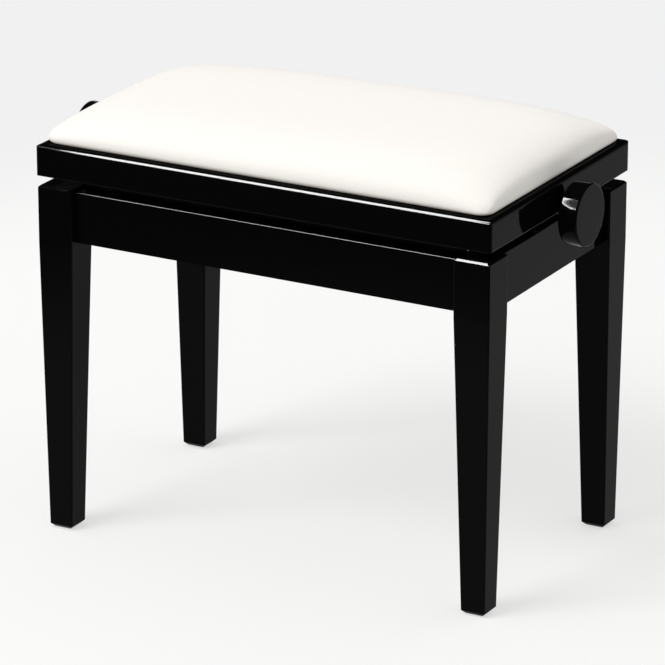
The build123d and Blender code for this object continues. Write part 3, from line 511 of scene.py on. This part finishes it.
@dataclass
class Cushion:
    """The drop-in seat cushion: velour over crowned foam, rolled a little over the frame's ledge."""

    cells: tuple[int, int] = (84, 52)
    grid_weld: float = 1e-4  # joins the rings of the sheet while its half size is still 1
    crown: float = 26.5 * MM  # above the widest place, at the middle
    lean: float = 6.5 * MM  # how much fuller the right end is stuffed than the middle
    end_powers: tuple[float, float] = (6.5, 4.4)  # of the fall towards the left and the right end
    end_root: float = 4.0
    side_curve: tuple[float, float] = (4.0, 2.3)  # power and root of the fall to the front and the rear
    front_corner_drop: tuple[float, float] = (0.0, 0.1)  # left and right, as a share of the crown
    rear_corner_drop: tuple[float, float] = (0.7, 0.1)
    corner_power: float = 3.0
    corner_tuck: float = 2.5 * MM  # how far the cover is pulled down at the corners
    tuck_power: float = 8.0
    corner_radius: float = 16.0 * MM
    side_widest: float = 10.0 * MM  # height of the widest place above the ledge, along the long sides
    end_widest: tuple[float, float] = (8.5 * MM, 6.5 * MM)  # the same along the left and the right end
    roll_in: float = 5.0 * MM  # from the widest place to the ledge
    roll_rings: int = 4
    ledge_gap: float = 0.4 * MM
    pressure: float = 4.0
    steps: int = 20
    swell_cap: float = 2.5 * MM
    ease_passes: int = 30  # of evening out the swelling
    held_part: float = 3.0  # the cover is held up to the widest place's height divided by this
    name: str = "velour_cushion"
    outer: Vector = field(init=False)
    inner: Vector = field(init=False)
    foot: float = field(init=False)
    ledge: float = field(init=False)

    def __post_init__(self) -> None:
        """Measure the seat that the cushion sits in."""
        self.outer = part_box("seat_cover")[1]
        self.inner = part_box("seat_board")[1]
        self.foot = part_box("seat_foam")[0].z
        self.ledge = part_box("seat_rail_front")[1].z

    def build(self) -> bpy.types.Object:
        """Form the cushion, swell it and dress it.

        Returns:
            The finished cushion.
        """
        pad = link_piece(self.form(), self.name)
        self.swell(pad)
        for polygon in pad.data.polygons:
            polygon.use_smooth = True
        finer = pad.modifiers.new("finer", "SUBSURF")
        finer.levels = 1
        finer.render_levels = 1
        dress(pad, Slot.VELOUR)
        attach(pad, "seat")
        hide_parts("seat_cover", "seat_foam")
        return pad

    def form(self) -> bpy.types.Mesh:
        """Shape one closed sheet: crowned on top, rolled in at the ledge and flat on the board.

        Returns:
            The new mesh, in the frame's coordinates.
        """
        columns, rows = self.cells
        sheet = bmesh.new()
        bmesh.ops.create_grid(sheet, x_segments=columns, y_segments=rows, size=1.0)
        rim = [edge for edge in sheet.edges if edge.is_boundary]
        rings = self.roll_rings + 2
        for _ in range(rings):
            grown = bmesh.ops.extrude_edge_only(sheet, edges=rim)["geom"]
            below = [part for part in grown if isinstance(part, bmesh.types.BMVert)]
            bmesh.ops.translate(sheet, verts=below, vec=(0.0, 0.0, -1.0))
            rim = [part for part in grown if isinstance(part, bmesh.types.BMEdge) and part.is_boundary]
        bmesh.ops.create_grid(sheet, x_segments=columns, y_segments=rows, size=1.0,
                              matrix=Matrix.Translation((0.0, 0.0, -rings)))
        bmesh.ops.remove_doubles(sheet, verts=sheet.verts, dist=self.grid_weld)
        for vertex in sheet.verts:
            vertex.co = self.place(vertex.co.x, vertex.co.y, round(-vertex.co.z))
        bmesh.ops.recalc_face_normals(sheet, faces=sheet.faces)
        return keep_mesh(sheet, self.name)

    def place(self, u: float, v: float, ring: int) -> Vector:
        """Place one point of the sheet.

        Args:
            u: Share of the way from the middle to an end, from -1 to 1.
            v: Share of the way from the middle to the front or rear, from -1 to 1.
            ring: 0 on the crown, then the rings down to the ledge, in along it and down to the board.

        Returns:
            The point, in the frame's coordinates.
        """
        along = math.sin(u * math.pi / 2)
        across = math.sin(v * math.pi / 2)
        turn = min(ring / self.roll_rings, 1.0) * math.pi / 2
        inward = self.roll_in * (1.0 - math.cos(turn))
        half_x, half_y = self.outer.x - inward, self.outer.y - inward
        lower = self.side_widest - self.end_widest[int(along > 0.0)]
        bulge = self.side_widest - lower * abs(along) ** self.tuck_power
        bulge -= self.corner_tuck * abs(along * across) ** self.tuck_power
        height = self.ledge + bulge - (bulge - self.ledge_gap) * math.sin(turn)
        if ring == 0:
            height += self.crown_at(along, across)
        elif ring > self.roll_rings:
            half_x, half_y = self.inner.x, self.inner.y
        if ring > self.roll_rings + 1:
            height = self.foot
        x, y = self.round_corner(along * half_x, across * half_y, half_x, half_y)
        return Vector((x, y, height))

    def crown_at(self, along: float, across: float) -> float:
        """Height of the crown above the widest place.

        Args:
            along: Share of the half length, from -1 to 1.
            across: Share of the half width, from -1 to 1.

        Returns:
            The height in metres.
        """
        right = int(along > 0.0)
        drops = self.rear_corner_drop if across > 0.0 else self.front_corner_drop
        ends = max(1.0 - abs(along) ** self.end_powers[right], 0.0) ** (1.0 / self.end_root)
        sides = max(1.0 - abs(across) ** self.side_curve[0], 0.0) ** (1.0 / self.side_curve[1])
        corner = 1.0 - drops[right] * abs(along * across) ** self.corner_power
        return (self.crown + self.lean * along) * ends * sides * corner

    def round_corner(self, x: float, y: float, half_x: float, half_y: float) -> tuple[float, float]:
        """Bend a rectangle's corner into a round one.

        Args:
            x: Place along the rectangle.
            y: Place across the rectangle.
            half_x: Half of the rectangle's length.
            half_y: Half of the rectangle's width.

        Returns:
            The bent place.
        """
        radius = self.corner_radius
        right = (abs(x) - half_x + radius) / radius
        rear = (abs(y) - half_y + radius) / radius
        if right <= 0.0 or rear <= 0.0:
            return x, y
        bent_x = half_x - radius + radius * right * math.sqrt(1.0 - rear * rear / 2)
        bent_y = half_y - radius + radius * rear * math.sqrt(1.0 - right * right / 2)
        return math.copysign(bent_x, x), math.copysign(bent_y, y)

    def swell(self, pad: bpy.types.Object) -> None:
        """Blow the cover up a little as cloth, held where it is tucked in, and keep the result.

        Args:
            pad: The cushion as it was formed.
        """
        start = [vertex.co.copy() for vertex in pad.data.vertices]
        held = pad.vertex_groups.new(name="tucked")
        hold = self.ledge + self.side_widest / self.held_part
        tucked = [v.index for v in pad.data.vertices if v.co.z < hold]
        held.add(tucked, 1.0, "REPLACE")
        cloth = pad.modifiers.new("swell", "CLOTH")
        cloth.settings.use_pressure = True
        cloth.settings.uniform_pressure_force = self.pressure
        cloth.settings.effector_weights.gravity = 0.0
        cloth.settings.vertex_group_mass = held.name
        cloth.collision_settings.use_collision = False
        cloth.collision_settings.use_self_collision = False
        scene = bpy.context.scene
        for step in range(1, self.steps + 1):
            scene.frame_set(step)
        shown = pad.evaluated_get(bpy.context.evaluated_depsgraph_get())
        swollen = [vertex.co.copy() for vertex in shown.data.vertices]
        pad.modifiers.remove(cloth)
        pad.vertex_groups.clear()
        scene.frame_set(1)
        moves = [after - before for before, after in zip(start, swollen)]
        LOG.info("the cushion swelled by up to %.1f mm", max(move.length for move in moves) / MM)
        moves = [move * min(1.0, self.swell_cap / max(move.length, TINY)) for move in moves]
        moves = self.ease(pad.data, moves, set(tucked))
        for vertex, before, move in zip(pad.data.vertices, start, moves):
            vertex.co = before + move
            if before.z > self.ledge:
                vertex.co.z = max(vertex.co.z, self.ledge + self.ledge_gap)

    def ease(self, mesh: bpy.types.Mesh, moves: list[Vector], tucked: set[int]) -> list[Vector]:
        """Even out the swelling between neighbours, so that the cover keeps no stray wrinkles.

        Args:
            mesh: The cushion's mesh.
            moves: How far each point moved.
            tucked: Points that are held and stay where they are.

        Returns:
            The evened moves, in the same order.
        """
        pairs = [tuple(edge.vertices) for edge in mesh.edges]
        for _ in range(self.ease_passes):
            sums = [move.copy() for move in moves]
            counts = [1] * len(moves)
            for first, second in pairs:
                sums[first] += moves[second]
                sums[second] += moves[first]
                counts[first] += 1
                counts[second] += 1
            moves = [moves[i] if i in tucked else sums[i] / counts[i] for i in range(len(moves))]
        return moves


@dataclass
class Knob:
    """A turned knob on the spindle's end: a disc with rounded rims, bored from the back."""

    side: Side
    front_round: float = 2.0 * MM
    back_round: float = 3.0 * MM
    bore_radius: float = 5.05 * MM
    bore_depth: float = 16.0 * MM
    grub_radius: float = 2.55 * MM
    grub_steps: int = 24
    grub_place: float = 0.6  # from the knob's middle down to the drill's, as a share of the radius
    turn_steps: int = 144
    arc_steps: int = 6

    def build(self) -> bpy.types.Object:
        """Turn the knob, drill it for its grub screw and dress it.

        Returns:
            The finished knob.
        """
        node = f"knob_{self.side.value}"
        low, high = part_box(node)
        middle = (low + high) / 2
        knob = link_piece(self.turned(high.x - low.x, (high.z - low.z) / 2), f"turned_{node}")
        outward = math.copysign(1.0, middle.x)
        knob.data.transform(Matrix.Diagonal((outward, 1.0, 1.0, 1.0)))
        if outward < 0.0:
            knob.data.flip_normals()
        back = low.x if outward > 0.0 else high.x
        knob.data.transform(Matrix.Translation((back, middle.y, middle.z)))
        bored = Vector((back + outward * self.bore_depth / 2, middle.y, middle.z))
        self.drill(knob, bored, high.z - middle.z)
        smooth(knob.data)
        even = knob.modifiers.new("even", "WEIGHTED_NORMAL")
        even.keep_sharp = True
        dress(knob, Slot.LACQUER)
        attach(knob, "spindle")
        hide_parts(node)
        return knob

    def turned(self, width: float, radius: float) -> bpy.types.Mesh:
        """Spin the knob's half section about the X axis, with its back at the origin.

        Args:
            width: Length along the spindle.
            radius: Outer radius.

        Returns:
            The closed mesh.
        """
        section = [(self.bore_depth, 0.0), (self.bore_depth, self.bore_radius), (0.0, self.bore_radius)]
        for turn in quarter_turn(self.arc_steps):
            section.append((self.back_round * (1.0 - math.cos(turn)),
                            radius - self.back_round * (1.0 - math.sin(turn))))
        for turn in quarter_turn(self.arc_steps):
            section.append((width - self.front_round * (1.0 - math.sin(turn)),
                            radius - self.front_round * (1.0 - math.cos(turn))))
        section.append((width, 0.0))
        shape = bmesh.new()
        turn_section(shape, section, self.turn_steps)
        return keep_mesh(shape, "turned_knob")

    def drill(self, knob: bpy.types.Object, bored: Vector, reach: float) -> None:
        """Cut the grub screw's hole from the rim to the bore.

        Args:
            knob: The turned knob, in its place.
            bored: Where the hole meets the bore's axis.
            reach: The knob's outer radius.
        """
        middle = bored - Vector((0.0, 0.0, reach * self.grub_place))
        drill = bmesh.new()
        bmesh.ops.create_cone(drill, cap_ends=True, segments=self.grub_steps, radius1=self.grub_radius,
                              radius2=self.grub_radius, depth=reach,
                              matrix=Matrix.Translation(middle))
        cut_away(knob, drill)


@dataclass
class Spindle:
    """The lifting screw: a plain rod with a rolled right-hand thread where the nut runs."""

    radius: float = 5.0 * MM
    root_radius: float = 3.8 * MM
    chamfer: float = 0.83 * MM
    thread: tuple[float, float] = (138.07 * MM, 204.8 * MM)
    relief: float = 3.0 * MM  # groove at each end of the thread
    pitch: float = 2.0 * MM
    flank: float = 0.9 * MM  # half of the thread's width at its root
    crest: float = 0.3 * MM  # half of its width at the top
    sunk: float = 0.2 * MM  # how far the thread's foot goes into the rod
    turn_steps: int = 48

    def build(self) -> bpy.types.Object:
        """Turn the rod, wind the thread on it and dress it.

        Returns:
            The finished spindle.
        """
        low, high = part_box("spindle")
        shape = bmesh.new()
        first, last = self.thread[0] - self.relief, self.thread[1] + self.relief
        waist = self.radius - self.chamfer
        turn_section(shape, [
            (low.x, 0.0), (low.x, waist), (low.x + self.chamfer, self.radius), (first, self.radius),
            (first, self.root_radius), (last, self.root_radius), (last, self.radius),
            (high.x - self.chamfer, self.radius), (high.x, waist), (high.x, 0.0)], self.turn_steps)
        self.wind(shape)
        mesh = keep_mesh(shape, "threaded_spindle")
        mesh.transform(Matrix.Translation((low + high) / 2))
        smooth(mesh)
        rod = link_piece(mesh, "threaded_spindle")
        dress(rod, Slot.ZINC)
        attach(rod, "spindle")
        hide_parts("spindle")
        return rod

    def wind(self, shape: bmesh.types.BMesh) -> None:
        """Wind the thread's ridge round the rod as a closed shell of its own.

        Args:
            shape: The rod's mesh, about the X axis.
        """
        start = self.thread[0] + self.flank
        foot = self.root_radius - self.sunk
        section = [(start - self.flank, foot), (start - self.crest, self.radius),
                   (start + self.crest, self.radius), (start + self.flank, foot)]
        ring = [shape.verts.new((x, 0.0, radius)) for x, radius in section]
        first = shape.faces.new(ring)
        turns = (self.thread[1] - self.thread[0] - 2 * self.flank) / self.pitch
        steps = int(turns * self.turn_steps)
        wound = bmesh.ops.spin(shape, geom=ring + list(first.edges), cent=(0.0, 0.0, 0.0),
                               axis=(1.0, 0.0, 0.0), dvec=(self.pitch / self.turn_steps, 0.0, 0.0),
                               angle=math.tau * steps / self.turn_steps, steps=steps)
        bmesh.ops.contextual_create(shape, geom=[p for p in wound["geom_last"]
                                                 if isinstance(p, bmesh.types.BMEdge)])
        bmesh.ops.recalc_face_normals(shape, faces=shape.faces)


@dataclass
class PanHeadScrews:
    """One group of pan-head screws with cross recesses, each where the frame has its plain screw."""

    node: str
    body: str
    plain: bpy.types.Object  # the frame's plain screws
    dome: float = 1.3 * MM
    head_height: float = 2.2 * MM
    head_radius: float = 3.75 * MM
    shank_radius: float = 2.0 * MM
    tip: float = 3.5 * MM
    slot_width: float = 0.9 * MM
    slot_reach: float = 2.1 * MM
    slot_depth: float = 1.5 * MM
    turn_steps: int = 36
    arc_steps: int = 6
    weld: float = 0.001 * MM  # joins the loose triangles of the plain screws
    end_slice: float = 0.1 * MM  # how much of a plain screw's end is measured

    def build(self) -> bpy.types.Object:
        """Shape one screw and repeat it over the group.

        Returns:
            The finished group.
        """
        places = self.places()
        pattern = self.pattern(places[0][2])
        group = bmesh.new()
        for head, way, _ in places:
            stand = self.stand(head, way)
            pattern.data.transform(stand)
            group.from_mesh(pattern.data)
            pattern.data.transform(stand.inverted())
        bpy.data.objects.remove(pattern)
        name = f"pan_head_{self.node}"
        screws = link_piece(keep_mesh(group, name), name)
        smooth(screws.data)
        dress(screws, Slot.ZINC)
        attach(screws, self.body)
        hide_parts(self.node)
        return screws

    def stand(self, head: Vector, way: Vector) -> Matrix:
        """Place of a screw that lies on the X axis with its head's top at the origin.

        Args:
            head: Where the top of the head goes.
            way: Direction of the shank.

        Returns:
            The placing matrix.
        """
        turn = Vector((1.0, 0.0, 0.0)).rotation_difference(way)
        return Matrix.Translation(head) @ turn.to_matrix().to_4x4()

    def places(self) -> list[tuple[Vector, Vector, float]]:
        """Find the screws in the frame's group.

        Returns:
            For each screw the top of its head, the direction of its shank and its length.
        """
        plain = bmesh.new()
        plain.from_mesh(self.plain.data)
        bmesh.ops.remove_doubles(plain, verts=plain.verts, dist=self.weld)
        left = set(plain.verts)
        found = []
        while left:
            reached = [left.pop()]
            for vertex in reached:
                beside = {edge.other_vert(vertex) for edge in vertex.link_edges} & left
                left -= beside
                reached.extend(beside)
            found.append(self.measure([vertex.co.copy() for vertex in reached]))
        plain.free()
        return sorted(found, key=lambda place: tuple(round(value, 5) for value in place[0]))

    def measure(self, points: list[Vector]) -> tuple[Vector, Vector, float]:
        """Find which way one screw points: its head is the wide end.

        Args:
            points: The screw's corners.

        Returns:
            The top of its head, the direction of its shank and its length.
        """
        low = Vector([min(point[i] for point in points) for i in range(3)])
        high = Vector([max(point[i] for point in points) for i in range(3)])
        size = high - low
        axis = max(range(3), key=lambda i: size[i])
        middle = (low + high) / 2
        at_low = [point for point in points if point[axis] < low[axis] + self.end_slice]
        spread = max((point - middle)[(axis + 1) % 3] for point in at_low)
        sign = 1.0 if spread > (self.head_radius + self.shank_radius) / 2 else -1.0
        way = Vector([sign if i == axis else 0.0 for i in range(3)])
        return middle - way * size[axis] / 2, way, size[axis]

    def pattern(self, length: float) -> bpy.types.Object:
        """Shape one screw along the X axis, with its head's top at the origin.

        Args:
            length: From the head's top to the tip.

        Returns:
            The screw, which is a pattern and not a piece of the stool.
        """
        section = []
        for turn in quarter_turn(self.arc_steps):
            section.append((self.dome * (1.0 - math.cos(turn)), self.head_radius * math.sin(turn)))
        section += [(self.head_height, self.head_radius), (self.head_height, self.shank_radius),
                    (length - self.tip, self.shank_radius), (length, 0.0)]
        shape = bmesh.new()
        turn_section(shape, section, self.turn_steps)
        screw = link_piece(keep_mesh(shape, "screw"), "screw")
        cut_away(screw, self.recess())
        return screw

    def recess(self) -> bmesh.types.BMesh:
        """Shape the cross that is pressed into the head.

        Returns:
            The cross, about the X axis.
        """
        cross = bmesh.new()
        bmesh.ops.create_cube(cross, size=1.0, matrix=Matrix.Diagonal(
            (2 * self.slot_depth, self.slot_width, self.slot_width, 1.0)))
        sides = [face for face in cross.faces if abs(face.normal.x) < 0.5]
        for face in bmesh.ops.extrude_discrete_faces(cross, faces=sides)["faces"]:
            bmesh.ops.translate(cross, verts=face.verts,
                                vec=face.normal * (self.slot_reach - self.slot_width / 2))
        return cross


@dataclass
class Hardware:
    """The pieces whose shape comes from the frame as it is: each one only gets its finish."""

    skipped: set[str]

    def dress_all(self, frame: dict) -> None:
        """Dress every node that no new piece stands for.
        """
        slots = {row["node"]: Slot(row["material_slot"]) for row in frame["record"]["subparts"]}
        for name, node in sorted(frame["nodes"].items()):
            if name in self.skipped:
                continue
            node.data.materials.clear()
            node.data.materials.append(FINISHES[slots[name]].material())
            LOG.info("%s has %s", name, FINISHES[slots[name]].label)


@dataclass
class Lamp:
    """A rectangular studio lamp, aimed at a point."""

    name: str
    place: tuple[float, float, float]
    target: tuple[float, float, float]
    width: float
    height: float
    watts: float
    only_on: Slot | None = None  # shows as a mirror image, and on the pieces of this slot alone

    def build(self) -> bpy.types.Object:
        """Put the lamp into the scene.

        Returns:
            The lamp's object.
        """
        light = bpy.data.lights.new(self.name, "AREA")
        light.shape = "RECTANGLE"
        light.size = self.width
        light.size_y = self.height
        light.energy = self.watts
        lamp = link_piece(light, self.name)
        aim(lamp, self.place, self.target)
        lamp.visible_camera = False
        if self.only_on is not None:
            lamp.visible_diffuse = False
            lamp.light_linking.receiver_collection = self.receivers(self.only_on)
        return lamp

    def receivers(self, slot: Slot) -> bpy.types.Collection:
        """Gather the pieces with a slot's finish.

        Args:
            slot: The slot that the lamp is for.

        Returns:
            A collection with those pieces.
        """
        group = bpy.data.collections.new(f"{self.name}_on")
        label = FINISHES[slot].label
        for piece in bpy.data.objects:
            if piece.type == "MESH" and label in piece.data.materials:
                group.objects.link(piece)
        return group


@dataclass
class Studio:
    """Pale floor, soft lamps, a white surround and the camera at the photograph's place."""

    floor_radius: float = 1.5
    floor_fade: tuple[float, float] = (0.9, 1.47)  # the floor fades out between these radii
    floor_steps: int = 96
    floor_middle: tuple[float, float, float] = (0.05, 0.15, 0.0)
    floor_tone: str = "#FAFAF9"
    floor_glow: float = 0.60
    surround: float = 0.88
    mirror_rear: tuple[float, float] = (-0.45, 0.35)  # Y of a mirrored way, from the dark side to the white
    mirror_ceiling: tuple[float, float] = (0.0, 0.3)  # Z of a mirrored way, from white to the dim ceiling
    mirror_dim: float = 0.02
    ambient: float = 0.45  # soft light on matt surfaces, from level with the floor
    ambient_lean: tuple[float, float, float] = (0.0, 0.05, 0.36)  # more of it towards each axis
    lens_mm: float = 260.88
    sensor_mm: float = 36.0
    camera_place: tuple[float, float, float] = (2.4381, -4.3802, 2.0100)
    camera_target: tuple[float, float, float] = (0.0227, -0.01505, 0.23468)
    axis_pixel: tuple[float, float] = (344.33, 333.88)  # where the lens axis meets the picture
    lamps: list[Lamp] = field(default_factory=lambda: [
        Lamp("key_softbox", place=(-2.9, -4.5, 5.9), target=(0.0, 0.0, 0.4),
             width=3.8, height=3.2, watts=312.0),
        Lamp("edge_card", place=(-0.94, -1.28, 1.81), target=(-0.94, -0.16, 0.43),
             width=0.71, height=1.25, watts=900.0, only_on=Slot.LACQUER),
    ])

    def build(self) -> None:
        """Build the floor, the lamps, the surround and the camera."""
        self.build_floor()
        for lamp in self.lamps:
            lamp.build()
        self.build_surround()
        self.build_camera()
        bpy.context.scene.view_settings.view_transform = "Standard"

    def build_floor(self) -> bpy.types.Object:
        """Lay a round floor that fades into the surround.

        Returns:
            The floor's object.
        """
        disc = bmesh.new()
        bmesh.ops.create_circle(disc, cap_ends=True, segments=self.floor_steps,
                                radius=self.floor_radius)
        floor = link_piece(keep_mesh(disc, "floor"), "floor")
        floor.location = self.floor_middle
        floor.data.materials.append(self.floor_material())
        return floor

    def floor_material(self) -> bpy.types.Material:
        """Make matt white paper that glows a little, fades out, and is clear from below.

        Returns:
            The floor's material.
        """
        paper = bpy.data.materials.new("pale_studio_floor")
        paper.use_nodes = True
        tree = paper.node_tree
        tree.nodes.clear()
        tone = hex_linear(self.floor_tone)
        matt = add_node(tree, "ShaderNodeBsdfDiffuse", {"Color": tone})
        glow = add_node(tree, "ShaderNodeEmission", {"Color": tone, "Strength": 1.0})
        path = add_node(tree, "ShaderNodeLightPath")
        lens = add_node(tree, "ShaderNodeMath", {"operation": "MAXIMUM"},
                        {0: path.outputs["Is Camera Ray"], 1: path.outputs["Is Glossy Ray"]})
        seen = add_node(tree, "ShaderNodeMath", {"operation": "MAXIMUM"},
                        {0: lens.outputs[0], 1: path.outputs["Is Transmission Ray"]})
        share = add_node(tree, "ShaderNodeMath", {"operation": "MULTIPLY", 1: self.floor_glow},
                         {0: seen.outputs[0]})
        lit = add_node(tree, "ShaderNodeMixShader",
                       links={0: share.outputs[0], 1: matt.outputs[0], 2: glow.outputs[0]})
        place = add_node(tree, "ShaderNodeTexCoord").outputs["Object"]
        away = add_node(tree, "ShaderNodeVectorMath", {"operation": "LENGTH"}, {0: place})
        fade = add_node(tree, "ShaderNodeMapRange",
                        {"interpolation_type": "SMOOTHSTEP", "From Min": self.floor_fade[0],
                         "From Max": self.floor_fade[1]},
                        {"Value": away.outputs["Value"]})
        below = add_node(tree, "ShaderNodeNewGeometry").outputs["Backfacing"]
        gone = add_node(tree, "ShaderNodeMath", {"operation": "MAXIMUM"},
                        {0: fade.outputs["Result"], 1: below})
        clear = add_node(tree, "ShaderNodeBsdfTransparent")
        edge = add_node(tree, "ShaderNodeMixShader", links={
            0: gone.outputs[0], 1: lit.outputs[0], 2: clear.outputs[0]})
        add_node(tree, "ShaderNodeOutputMaterial", links={"Surface": edge.outputs[0]})
        return paper

    def build_surround(self) -> None:
        """Surround the stool with white for the lens, and with a studio for what mirrors it.

        What mirrors sees white low down behind the stool, a dim ceiling, and the dark side that the
        camera stands on. Matt surfaces see a soft light that comes mostly from above.
        """
        world = bpy.data.worlds.new("studio")
        bpy.context.scene.world = world
        world.use_nodes = True
        tree = world.node_tree
        tree.nodes.clear()
        path = add_node(tree, "ShaderNodeLightPath")
        way = add_node(tree, "ShaderNodeTexCoord")
        parts = add_node(tree, "ShaderNodeSeparateXYZ", links={0: way.outputs["Generated"]})
        rear = add_node(tree, "ShaderNodeMapRange",
                        {"interpolation_type": "SMOOTHSTEP", "From Min": self.mirror_rear[0],
                         "From Max": self.mirror_rear[1], "To Min": self.mirror_dim, "To Max": 1.0},
                        {"Value": parts.outputs["Y"]})
        ceiling = add_node(tree, "ShaderNodeMapRange",
                           {"interpolation_type": "SMOOTHSTEP", "From Min": self.mirror_ceiling[0],
                            "From Max": self.mirror_ceiling[1], "To Min": self.surround,
                            "To Max": self.mirror_dim}, {"Value": parts.outputs["Z"]})
        mirrored = add_node(tree, "ShaderNodeMath", {"operation": "MULTIPLY"},
                            {0: rear.outputs["Result"], 1: ceiling.outputs["Result"]})
        lean = add_node(tree, "ShaderNodeVectorMath",
                        {"operation": "DOT_PRODUCT", 1: self.ambient_lean}, {0: way.outputs["Generated"]})
        sky = add_node(tree, "ShaderNodeMath", {"operation": "ADD", 1: self.ambient},
                       {0: lean.outputs["Value"]})
        soft = add_node(tree, "ShaderNodeMix", {"data_type": "FLOAT"},
                        {0: path.outputs["Is Glossy Ray"], NUMBER_A: sky.outputs[0],
                         NUMBER_B: mirrored.outputs[0]})
        direct = add_node(tree, "ShaderNodeMath", {"operation": "MAXIMUM"},
                          {0: path.outputs["Is Camera Ray"], 1: path.outputs["Is Transmission Ray"]})
        seen = add_node(tree, "ShaderNodeMix", {"data_type": "FLOAT", NUMBER_B: self.surround},
                        {0: direct.outputs[0], NUMBER_A: soft.outputs[0]})
        back = add_node(tree, "ShaderNodeBackground", {"Color": (1.0, 1.0, 1.0, 1.0)},
                        {"Strength": seen.outputs[0]})
        add_node(tree, "ShaderNodeOutputWorld", links={"Surface": back.outputs[0]})

    def build_camera(self) -> None:
        """Stand the camera where the photograph was taken from."""
        lens = bpy.data.cameras.new("camera")
        lens.lens = self.lens_mm
        lens.sensor_width = self.sensor_mm
        lens.shift_x = (IMAGE_SIDE / 2 - self.axis_pixel[0]) / IMAGE_SIDE
        lens.shift_y = (self.axis_pixel[1] - IMAGE_SIDE / 2) / IMAGE_SIDE
        lens.clip_end = 100.0
        camera = link_piece(lens, "camera")
        aim(camera, self.camera_place, self.camera_target)
        bpy.context.scene.camera = camera


def main() -> None:
    """Load the frame, build the pieces in order and light them."""
    logging.basicConfig(level=logging.INFO, format="%(name)s: %(message)s")
    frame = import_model()
    makers = [Cushion(), Knob(Side.LEFT), Knob(Side.RIGHT), Spindle()]
    bodies = frame["record"]["behaviour"]["bodies"]
    for body, nodes in bodies.items():
        for node in sorted(set(nodes) & SCREW_GROUPS):
            makers.append(PanHeadScrews(node, body, frame["nodes"][node]))
    for maker in makers:
        piece = maker.build()
        LOG.info("%s is built, with %d faces", piece.name, len(piece.data.polygons))
    replaced = SCREW_GROUPS | {"seat_cover", "seat_foam", "knob_left", "knob_right", "spindle"}
    Hardware(replaced).dress_all(frame)
    Studio().build()
    bpy.context.view_layer.update()


if __name__ == "__main__":
    main()
